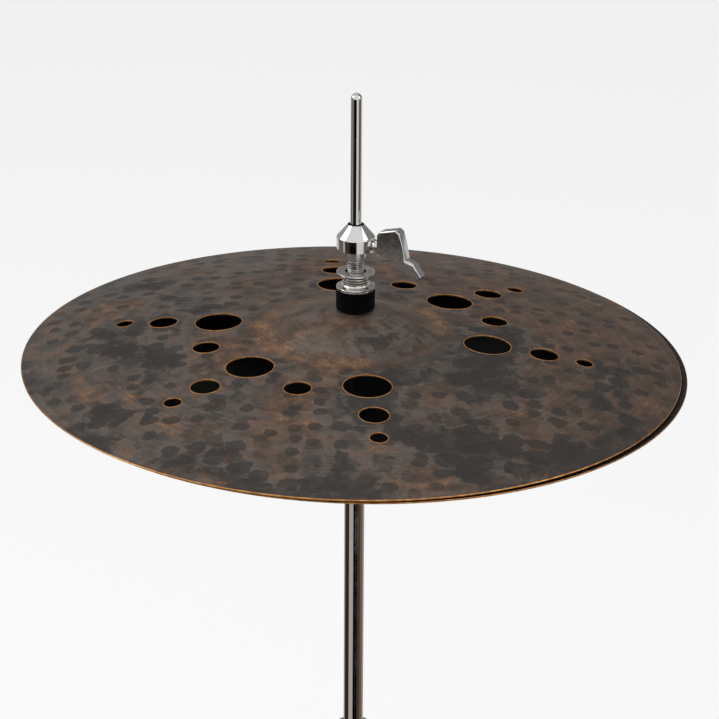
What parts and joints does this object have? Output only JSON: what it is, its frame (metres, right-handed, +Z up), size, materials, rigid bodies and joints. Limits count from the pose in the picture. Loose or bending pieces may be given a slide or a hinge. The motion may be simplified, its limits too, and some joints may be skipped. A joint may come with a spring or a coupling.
{
  "type": "hi-hat",
  "caption": "Hi-hat: perforated dark top cymbal on a felted clutch over a bottom cymbal, on a telescopic stand with pull rod, pedal and folding tripod.",
  "frame": {"origin": "on the floor under the axis of the pull rod, on the underside of the base plate", "axes": "+Z up along the pull rod; -Y towards the heel of the pedal; +X to the right of a player who faces +Y"},
  "size_m": [0.5262, 0.647, 1.0211],
  "materials": {
    "top_bronze": "dark mottled patina, hammered",
    "bottom_bronze": "dark mottled patina, hammered",
    "chrome": "polished",
    "steel": "turned, satin",
    "black_paint": "semi-gloss black",
    "felt": "pressed felt",
    "nylon": "moulded",
    "rubber": "matt"
  },
  "bodies": {
    "base": {"base_plate": "black_paint", "heel_plate": "black_paint", "hinge_pin": "steel", "frame_yoke": "black_paint", "base_tube": "chrome", "spring_seat": "steel", "tube_bushing": "nylon", "tube_clamp": "chrome", "clamp_nut": "steel", "brace_collar": "chrome", "brace_pin_1": "steel", "brace_pin_2": "steel", "brace_pin_3": "steel"},
    "clamp_wing": {"clamp_wing_bolt": "chrome"},
    "mast": {"upper_tube": "chrome", "memory_lock": "chrome", "memory_lock_bolt": "steel", "seat_base": "chrome", "seat_cup": "chrome", "seat_felt": "felt", "seat_sleeve": "nylon", "seat_hinge_pin": "steel"},
    "tilt_adjuster": {"tilt_screw": "steel"},
    "lower_cymbal": {"bottom_cymbal": "bottom_bronze"},
    "rod": {"pull_rod": "chrome", "lower_rod": "steel", "rod_coupler": "steel", "spring_perch": "steel", "return_spring": "steel", "rod_clevis": "steel", "link_pin": "steel", "pull_link": "steel"},
    "clutch": {"clutch_body": "chrome", "clutch_tube": "steel", "clutch_washer": "steel", "upper_felt": "felt", "lower_felt": "felt"},
    "upper_nut": {"upper_lock_nut": "steel"},
    "lower_nut": {"lower_lock_nut": "steel"},
    "end_nut": {"bottom_nut": "steel"},
    "clutch_wing": {"clutch_wing_bolt": "chrome"},
    "upper_cymbal": {"top_cymbal": "top_bronze"},
    "pedal": {"footboard": "chrome", "toe_pin": "steel"},
    "collar": {"leg_collar": "chrome", "leg_pin_1": "steel", "leg_pin_2": "steel", "leg_pin_3": "steel"},
    "collar_wing": {"collar_wing_bolt": "chrome"},
    "leg_a": {"leg_1": "chrome", "foot_1": "rubber"},
    "leg_b": {"leg_2": "chrome", "foot_2": "rubber"},
    "leg_c": {"leg_3": "chrome", "foot_3": "rubber"},
    "brace_a": {"brace_1": "chrome"},
    "brace_b": {"brace_2": "chrome"},
    "brace_c": {"brace_3": "chrome"}
  },
  "joints": [
    {"name": "rod_slide", "type": "slide", "parent": "base", "child": "rod", "axis": [0, 0, 1], "range_m": [-0.0006, 0.03], "stiffness_N_per_m": 600, "springref_m": 0.0305, "deforming": ["return_spring"]},
    {"name": "pedal_hinge", "type": "hinge", "parent": "base", "child": "pedal", "pos_m": [0, -0.28, 0.032], "axis": [1, 0, 0], "range_deg": [-0.14, 6.2]},
    {"name": "height_adjust", "type": "slide", "parent": "base", "child": "mast", "axis": [0, 0, 1], "range_m": [0, 0.07]},
    {"name": "clutch_slide", "type": "slide", "parent": "rod", "child": "clutch", "axis": [0, 0, 1], "range_m": [0, 0.07]},
    {"name": "upper_cymbal_spin", "type": "hinge", "parent": "clutch", "child": "upper_cymbal", "pos_m": [-0.00221, 0.00025, 0.85001], "axis": [0.0182, 0, 0.9998], "continuous": true},
    {"name": "lower_cymbal_spin", "type": "hinge", "parent": "mast", "child": "lower_cymbal", "pos_m": [0.0017, 0.0013, 0.84803], "axis": [0.0182, 0, 0.9998], "continuous": true},
    {"name": "clutch_wing_turn", "type": "hinge", "parent": "clutch", "child": "clutch_wing", "pos_m": [0, 0, 0.927], "axis": [0.866, -0.5, 0], "range_deg": [-120, 120]},
    {"name": "upper_nut_turn", "type": "hinge", "parent": "clutch", "child": "upper_nut", "pos_m": [0, 0, 0.906], "axis": [0, 0, 1], "range_deg": [-180, 180]},
    {"name": "lower_nut_turn", "type": "hinge", "parent": "clutch", "child": "lower_nut", "pos_m": [0, 0, 0.9], "axis": [0, 0, 1], "range_deg": [-180, 180]},
    {"name": "end_nut_turn", "type": "hinge", "parent": "clutch", "child": "end_nut", "pos_m": [0, 0, 0.87], "axis": [0, 0, 1], "range_deg": [-180, 180]},
    {"name": "clamp_wing_turn", "type": "hinge", "parent": "base", "child": "clamp_wing", "pos_m": [0.03, 0, 0.5585], "axis": [0, -1, 0], "range_deg": [-120, 120]},
    {"name": "tilt_screw_turn", "type": "hinge", "parent": "mast", "child": "tilt_adjuster", "pos_m": [0.0175, 0, 0.79], "axis": [0, 0, 1], "range_deg": [-180, 180]},
    {"name": "leg_fold", "type": "slide", "parent": "base", "child": "collar", "axis": [0, 0, 1], "range_m": [0, 0.13395]},
    {"name": "collar_wing_turn", "type": "hinge", "parent": "collar", "child": "collar_wing", "pos_m": [0, 0, 0.385], "axis": [0.866, 0.5, 0], "range_deg": [-120, 120]},
    {"name": "leg_a_hinge", "type": "hinge", "parent": "collar", "child": "leg_a", "pos_m": [0, 0.035, 0.385], "axis": [-1, 0, 0], "range_deg": [0, 28.38]},
    {"name": "brace_a_hinge", "type": "hinge", "parent": "base", "child": "brace_a", "pos_m": [0, 0.035, 0.148], "axis": [-1, 0, 0], "range_deg": [-61.91, 0]},
    {"name": "leg_b_hinge", "type": "hinge", "parent": "collar", "child": "leg_b", "pos_m": [-0.03031, -0.0175, 0.385], "axis": [0.5, -0.866, 0], "range_deg": [0, 28.38]},
    {"name": "brace_b_hinge", "type": "hinge", "parent": "base", "child": "brace_b", "pos_m": [-0.03031, -0.0175, 0.148], "axis": [0.5, -0.866, 0], "range_deg": [-61.91, 0]},
    {"name": "leg_c_hinge", "type": "hinge", "parent": "collar", "child": "leg_c", "pos_m": [0.03031, -0.0175, 0.385], "axis": [0.5, 0.866, 0], "range_deg": [0, 28.38]},
    {"name": "brace_c_hinge", "type": "hinge", "parent": "base", "child": "brace_c", "pos_m": [0.03031, -0.0175, 0.148], "axis": [0.5, 0.866, 0], "range_deg": [-61.91, 0]}
  ],
  "couplings": [
    {"joint": "pedal_hinge", "follows": "rod_slide", "rad_per_m": 3.595},
    {"joint": "clutch_slide", "follows": "height_adjust", "ratio": 1},
    {"joint": "leg_a_hinge", "follows": "leg_fold", "rad_per_m": 3.695},
    {"joint": "brace_a_hinge", "follows": "leg_fold", "rad_per_m": -8.0638},
    {"joint": "leg_b_hinge", "follows": "leg_fold", "rad_per_m": 3.695},
    {"joint": "brace_b_hinge", "follows": "leg_fold", "rad_per_m": -8.0638},
    {"joint": "leg_c_hinge", "follows": "leg_fold", "rad_per_m": 3.695},
    {"joint": "brace_c_hinge", "follows": "leg_fold", "rad_per_m": -8.0638}
  ]
}
